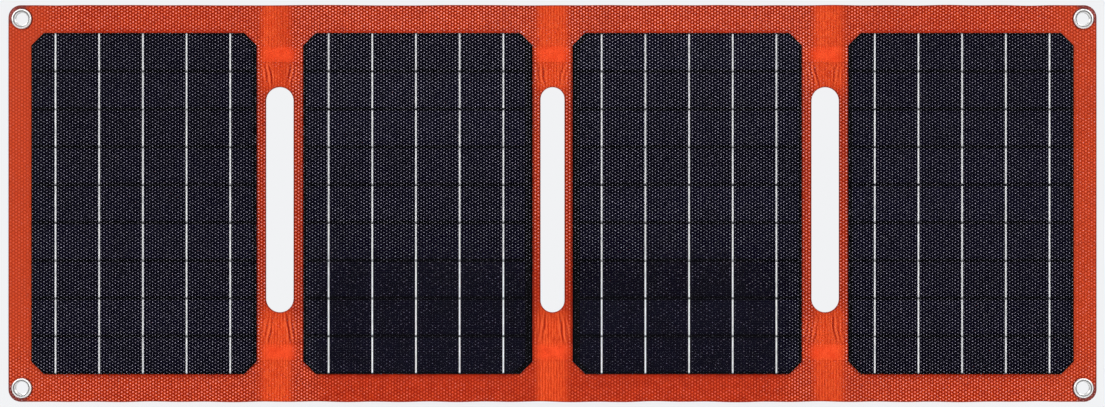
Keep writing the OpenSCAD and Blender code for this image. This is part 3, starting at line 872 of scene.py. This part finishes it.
def cell_shader(t):
    """A monocrystalline cell: blue-black, slightly different from cell to cell, darker at the gaps, with fine
    silver fingers."""
    x, _, z = t.axes(t.place())
    column = t.math("FLOOR", t.math("DIVIDE", x, FOLD_X["fold_3"]))
    row = t.math("FLOOR", t.plus(t.math("DIVIDE", z, CELL_PITCH), 0.5))
    grain = t.noise(t.vector(x, 0.0, z), 0.02, 3.0)
    colour = t.mix_colour(t.random(column, row), rgb(5, 3, 16), rgb(10, 8, 25))
    colour = t.mix_colour(t.fade(grain, 0.4, 0.7, 0.0, 0.4), colour, rgb(4, 4, 8))
    along = t.math("FRACT", t.math("DIVIDE", z, FINGER_PITCH))
    finger = t.fade(t.absolute(t.minus(along, 0.5)), 0.06, 0.03)
    colour = t.mix_colour(t.times(finger, 0.08), colour, rgb(120, 120, 128))
    at_gap = t.fade(from_cell_gap(t, z), 2.0 * MM, 0.8 * MM, 0.0, 0.8)
    colour = t.mix_colour(at_gap, colour, rgb(1, 1, 2))
    return t.principled(
        Base_Color=colour,
        Roughness=t.fade(grain, 0.3, 0.7, 0.28, 0.36),
        Specular_IOR_Level=0.02,
        Normal=t.bump(finger, 0.02 * MM),
    )


def ribbon_shader(t):
    """Tinned copper, bright along a cell, with painted shade where it dives between two cells."""
    x, _, z = t.axes(t.place())
    dull = t.noise(t.vector(t.times(x, 3.0), 0.0, z), 6 * MM, 4.0, 0.6)
    solder = t.noise(t.vector(x, 0.0, z), 1.1 * MM, 2.0)
    tin = t.mix_colour(t.fade(dull, 0.35, 0.75), rgb(244, 244, 243), rgb(212, 213, 214))
    column = t.math("FLOOR", t.math("DIVIDE", x, FOLD_X["fold_3"]))
    row = t.math("FLOOR", t.math("DIVIDE", z, CELL_PITCH))
    depth = t.plus(0.3, t.times(t.random(column, row), 0.7))
    # painted shade where the ribbon dives between two cells, deeper at some gaps than others
    painted_dive_shade = t.times(t.fade(from_cell_gap(t, z), 1.0 * MM, 0.5 * MM), depth)
    return t.principled(
        Base_Color=t.mix_colour(painted_dive_shade, tin, rgb(24, 24, 26)),
        Metallic=0.1,
        Roughness=t.fade(solder, 0.3, 0.7, 0.30, 0.5),
        Normal=t.bump(solder, 0.03 * MM),
    )


def board_shader(t):
    """Black glass-fibre board."""
    x, _, z = t.axes(t.place())
    mat = weave(t, x, z, 0.7 * MM)
    cloud = t.noise(t.vector(x, 0.0, z), 0.03, 3.0)
    return t.principled(
        Base_Color=t.mix_colour(t.fade(cloud, 0.3, 0.7), rgb(2, 2, 4), rgb(5, 5, 7)),
        Roughness=t.fade(mat, 0.2, 0.8, 0.5, 0.38),
        Specular_IOR_Level=0.03,
        Normal=t.bump(mat, 0.02 * MM),
    )


def nickel_shader(t):
    """The washers' nickel, with fine scuffs."""
    place = t.place()
    scuff = t.noise(place, 0.9 * MM, 4.0, 0.65)
    broad = t.noise(place, 5 * MM, 2.0)
    return t.principled(
        Base_Color=t.mix_colour(t.fade(broad, 0.3, 0.7), rgb(254, 253, 250), rgb(242, 241, 238)),
        Metallic=0.45,
        Roughness=t.fade(scuff, 0.3, 0.7, 0.26, 0.34),
        Normal=t.bump(scuff, 0.001 * MM),
    )


def eyelet_shader(t):
    """Nickel, bright on the flange, with a painted dark line of shade inside it and a barrel darkened by painted
    shade and grime.
    """
    place = t.place()
    x, y, z = t.axes(place)
    r = t.length(t.minus(t.absolute(x), EYELET_X), t.minus(t.absolute(z), EYELET_Z))
    from_line = t.absolute(t.minus(r, HOLE_R + 1.1 * MM))
    # painted shade: a dark line inside the flange
    line_shade = t.fade(from_line, 0.6 * MM, 0.2 * MM, 0.0, 0.85)
    # painted shade, with grime, darkening the barrel deeper in
    barrel = t.fade(y, -0.6 * MM, 0.9 * MM, 0.0, 0.95)
    barrel = t.times(barrel, t.fade(r, HOLE_R + 0.6 * MM, HOLE_R + 0.3 * MM))
    scuff = t.noise(place, 1.2 * MM, 3.0, 0.6)
    bright = t.mix_colour(t.fade(scuff, 0.3, 0.7), rgb(255, 254, 251), rgb(244, 243, 240))
    return t.principled(
        Base_Color=t.mix_colour(t.math("MAXIMUM", line_shade, barrel), bright, rgb(72, 72, 75)),
        Metallic=0.4,
        Roughness=t.fade(scuff, 0.3, 0.7, 0.26, 0.36),
        Normal=t.bump(scuff, 0.001 * MM),
    )


def case_shader(t):
    """The controller box: dark moulded plastic with a spark-eroded grain, a little rubbed."""
    place = t.place()
    spark = t.noise(place, 0.5 * MM, 2.0, 0.6)
    rubbed = t.noise(place, 14 * MM, 5.0, 0.6)
    return t.principled(
        Base_Color=t.mix_colour(t.fade(rubbed, 0.4, 0.8), rgb(30, 30, 32), rgb(37, 37, 39)),
        Roughness=t.fade(rubbed, 0.35, 0.7, 0.58, 0.50),
        Normal=t.bump(spark, 0.09 * MM),
    )


def plain_shader(low, high, size, rough, depth=0.02, metallic=0.0):
    """A finish whose colour goes between two tints and whose surface has a fine grain."""
    def build(t):
        place = t.place()
        cloud = t.noise(place, size * 6, 3.0)
        grain = t.noise(place, size, 3.0, 0.6)
        return t.principled(
            Base_Color=t.mix_colour(t.fade(cloud, 0.35, 0.65), rgb(*low), rgb(*high)),
            Metallic=metallic,
            Roughness=t.fade(grain, 0.3, 0.7, rough - 0.06, rough + 0.06),
            Normal=t.bump(grain, depth * MM),
        )
    return build


def sleeve_shader(t):
    """A jumper's sleeve, which looks as the fabric beside it does under the film, painted light and shade
    included.
    """
    x, _, z = t.axes(t.attribute("rest"))
    cloud = t.noise(t.vector(x, 0.0, z), 5 * MM, 3.0)
    return t.principled(
        Base_Color=orange_colour(t, x, z),
        Roughness=t.fade(cloud, 0.3, 0.7, 0.44, 0.54),
        Specular_IOR_Level=0.06,
    )


def light_pipe_shader(t):
    """Milky clear plastic."""
    cloud = t.noise(t.place(), 1 * MM, 2.0)
    return t.principled(
        Base_Color=t.mix_colour(cloud, rgb(226, 236, 228), rgb(240, 246, 241)),
        Roughness=t.fade(cloud, 0.3, 0.7, 0.3, 0.45),
        Transmission_Weight=0.5,
        IOR=1.49,
    )


SHADERS = {
    "film": film_shader,
    "front_fabric": front_cloth_shader,
    "back_fabric": back_cloth_shader,
    "board": board_shader,
    "cells": cell_shader,
    "tinned_copper": ribbon_shader,
    "jumper_sleeve": sleeve_shader,
    "nickel": nickel_shader,
    "eyelet": eyelet_shader,
    "case": case_shader,
    "light_pipe": light_pipe_shader,
    "rubber": plain_shader((14, 14, 14), (22, 22, 22), 0.5 * MM, 0.72),
    "circuit_board": plain_shader((14, 62, 32), (20, 78, 42), 0.8 * MM, 0.34),
    "port_shell": plain_shader((190, 190, 192), (214, 214, 214), 0.6 * MM, 0.26, 0.01, 1.0),
    "port_tongue": plain_shader((226, 226, 220), (238, 238, 233), 0.6 * MM, 0.5),
    "ferrite": plain_shader((40, 40, 43), (56, 56, 58), 0.4 * MM, 0.68, 0.05),
    "can": plain_shader((180, 180, 184), (204, 204, 207), 0.5 * MM, 0.3, 0.01, 1.0),
    "chip": plain_shader((16, 16, 17), (24, 24, 25), 0.3 * MM, 0.6),
    "led": plain_shader((196, 206, 96), (214, 222, 124), 0.5 * MM, 0.25),
    "lead": plain_shader((150, 22, 18), (172, 32, 26), 0.6 * MM, 0.55),
}
MATERIALS = {name: new_material(name, build) for name, build in SHADERS.items()}


def dress(piece, slot, look=None):
    """Gives a new piece the material of one of the record's slots, or the one named look."""
    piece.data.materials.clear()
    piece.data.materials.append(MATERIALS[look or slot])


# ---------------------------------------------------------------- the pieces

# each span's name, the leaf where its bend starts and the leaf beyond its fold
SPANS = {
    -1: ("left", "leaf_2", "leaf_1"),
    0: ("middle", "leaf_2", "leaf_3"),
    1: ("right", "leaf_3", "leaf_4"),
}


def bend_over_fold(piece):
    """Bakes the piece's placement into its points."""
    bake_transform(piece)


def make_fabrics():
    """The front and back fabrics, the film over the front, and the jumpers between the fabrics."""
    for span, (side, inner, outer) in SPANS.items():
        fold = SPAN_FOLD[span]
        leaves = [inner, outer] if span == 0 else [outer]
        front = make_cloth(f"front_cloth_{side}", span, cloth_front, cloth_middle_front)
        back = make_cloth(f"back_cloth_{side}", span, cloth_middle_back, cloth_back)
        film = make_film(f"clear_film_{side}", span)
        for piece, slot in ((front, "front_fabric"), (back, "back_fabric"), (film, "film")):
            dress(piece, slot)
            bend_over_fold(piece)
            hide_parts(*(f"{leaf}_{slot}" for leaf in leaves))
        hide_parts(f"{fold}_strip")
        jumpers = make_jumpers(f"{fold}_sleeved_jumpers", fold)
        dress(jumpers, "jumper_sleeve")
        bend_over_fold(jumpers)
        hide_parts(f"{fold}_jumpers")


def make_eyelets():
    """Rolled nickel eyelets, and the washers that they are set into on the back."""
    y_front = Y_FILM_FLAT
    y_back = Y_BACK + WASHER_T
    flange = [
        (FLANGE_R, y_front),
        (FLANGE_R - 0.1 * MM, y_front - 0.55 * MM),
        (FLANGE_R - 0.5 * MM, y_front - 0.95 * MM),
        (HOLE_R + 1.4 * MM, y_front - 1.05 * MM),
        (HOLE_R + 0.8 * MM, y_front - 0.75 * MM),
        (HOLE_R + 0.2 * MM, y_front + 0.1 * MM),
        (HOLE_R, y_front + 0.8 * MM),
    ]
    rolled = [
        (HOLE_R, y_back),
        (HOLE_R + 0.2 * MM, y_back + 0.5 * MM),
        (HOLE_R + 1.0 * MM, y_back + 0.58 * MM),
        (HOLE_R + 1.7 * MM, y_back + 0.35 * MM),
        (HOLE_R + 1.8 * MM, y_back),
    ]
    barrel = [(BARREL_R, y_back), (BARREL_R, y_front)]
    ring = rounded_profile(flange + rolled + barrel, 0.45 * MM)
    corners = [(BARREL_R, Y_BACK), (FLANGE_R, Y_BACK), (FLANGE_R, y_back), (BARREL_R, y_back)]
    washer = rounded_profile(corners, 0.22 * MM)
    for side, leaf in ((-1, "leaf_1"), (1, "leaf_4")):
        for name, profile, look in (("eyelets", ring, "eyelet"), ("washers", washer, "nickel")):
            piece = make_turned_pair(f"{leaf}_nickel_{name}", side, profile)
            dress(piece, "nickel", look)
            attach(piece, leaf)
            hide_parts(f"{leaf}_{name}")


def dress_cad_nodes():
    """Every CAD node that stays visible gets the material of its slot."""
    slots = {row["node"]: row["material_slot"] for row in frame["record"]["subparts"]}
    for name, node in frame["nodes"].items():
        node.data.materials.clear()
        node.data.materials.append(MATERIALS[slots[name]])


def soften_edges(name, width):
    """Rounds the sharp edges of a CAD node, as a moulding's are."""
    node = frame["nodes"][name]
    weld = node.modifiers.new("weld", "WELD")
    weld.merge_threshold = 0.005 * MM
    bevel = node.modifiers.new("bevel", "BEVEL")
    bevel.width = width
    bevel.segments = 2
    bevel.limit_method = "ANGLE"
    bevel.angle_limit = math.radians(40)
    bevel.use_clamp_overlap = True
    bevel.harden_normals = True


# ---------------------------------------------------------------- the studio

BACKDROP = rgb(241, 242, 244)
FLOOR_Z = -0.30
FLOOR_R = 2.4
VIEW_W = 794.5 * MM


def add_light(name, place, size, power):
    """A soft rectangular light aimed at the middle of the panel."""
    lamp = bpy.data.lights.new(name, "AREA")
    lamp.shape = "RECTANGLE"
    lamp.size, lamp.size_y = size
    lamp.energy = power
    light = bpy.data.objects.new(name, lamp)
    bpy.context.scene.collection.objects.link(light)
    light.location = place
    light.rotation_mode = "QUATERNION"
    light.rotation_quaternion = (Vector() - Vector(place)).to_track_quat("-Z", "Y")


def floor_shader(t):
    """Pale and matt near the panel, passing into the plain backdrop further out."""
    x, y, _ = t.axes(t.place())
    pale = t.mix_colour(t.noise(t.place(), 0.02, 3.0), rgb(213, 214, 215), rgb(218, 219, 220))
    matt = t.principled(Base_Color=pale, Roughness=0.8)
    seen = t.add("LightPath").outputs["Is Camera Ray"]
    far = t.add("Emission", {"Color": BACKDROP, "Strength": seen}).outputs[0]
    return t.add("MixShader", {0: t.fade(t.length(x, y), 0.6, 2.2), 1: matt, 2: far}).outputs[0]


def make_world():
    """A plain pale backdrop for the camera, and a soft cool room for everything else."""
    world = bpy.data.worlds.new("studio")
    bpy.context.scene.world = world
    world.use_nodes = True
    t = Tree(world.node_tree)
    seen = t.add("LightPath").outputs["Is Camera Ray"]
    room = t.add("Background", {"Color": (0.80, 0.82, 0.86, 1), "Strength": 0.35}).outputs[0]
    plain = t.add("Background", {"Color": BACKDROP}).outputs[0]
    t.add("OutputWorld", {"Surface": t.add("MixShader", {0: seen, 1: room, 2: plain}).outputs[0]})


def make_floor():
    """A pale disc below the panel."""
    steps = 96
    turn = np.linspace(0, 2 * math.pi, steps, endpoint=False)
    rim = [(FLOOR_R * math.cos(a), FLOOR_R * math.sin(a), FLOOR_Z) for a in turn]
    faces = [(0, 1 + k, 1 + (k + 1) % steps) for k in range(steps)]
    floor = make_object("floor", [(0, 0, FLOOR_Z), *rim], faces)
    floor.data.materials.append(new_material("floor", floor_shader))


def make_lights():
    """Soft lights from both sides, in front and behind, and one from above."""
    for side, name in ((-1, "left"), (1, "right")):
        add_light(f"front_{name}", place=(side * 2.4, -2.4, 1.3), size=(1.4, 1.8), power=45)
        add_light(f"back_{name}", place=(side * 2.1, 2.5, 1.7), size=(1.6, 1.6), power=60)
    add_light("overhead", place=(0, -1.6, 2.8), size=(2.6, 1.2), power=43)


def make_camera():
    """Square to the panel, at the distance where VIEW_W fills the frame's width."""
    data = bpy.data.cameras.new("camera")
    data.lens = 57
    data.sensor_width = 36
    camera = bpy.data.objects.new("camera", data)
    bpy.context.scene.collection.objects.link(camera)
    camera.location = (0, -VIEW_W * data.lens / data.sensor_width, 0)
    camera.rotation_euler = (math.pi / 2, 0, 0)
    data.clip_start = 0.1
    data.clip_end = 60
    bpy.context.scene.camera = camera


make_camera()
make_world()
make_floor()
make_lights()
dress_cad_nodes()
make_fabrics()
make_eyelets()
soften_edges("controller_cover", 0.6 * MM)
soften_edges("controller_base", 0.4 * MM)
bpy.context.scene.view_settings.view_transform = "Standard"
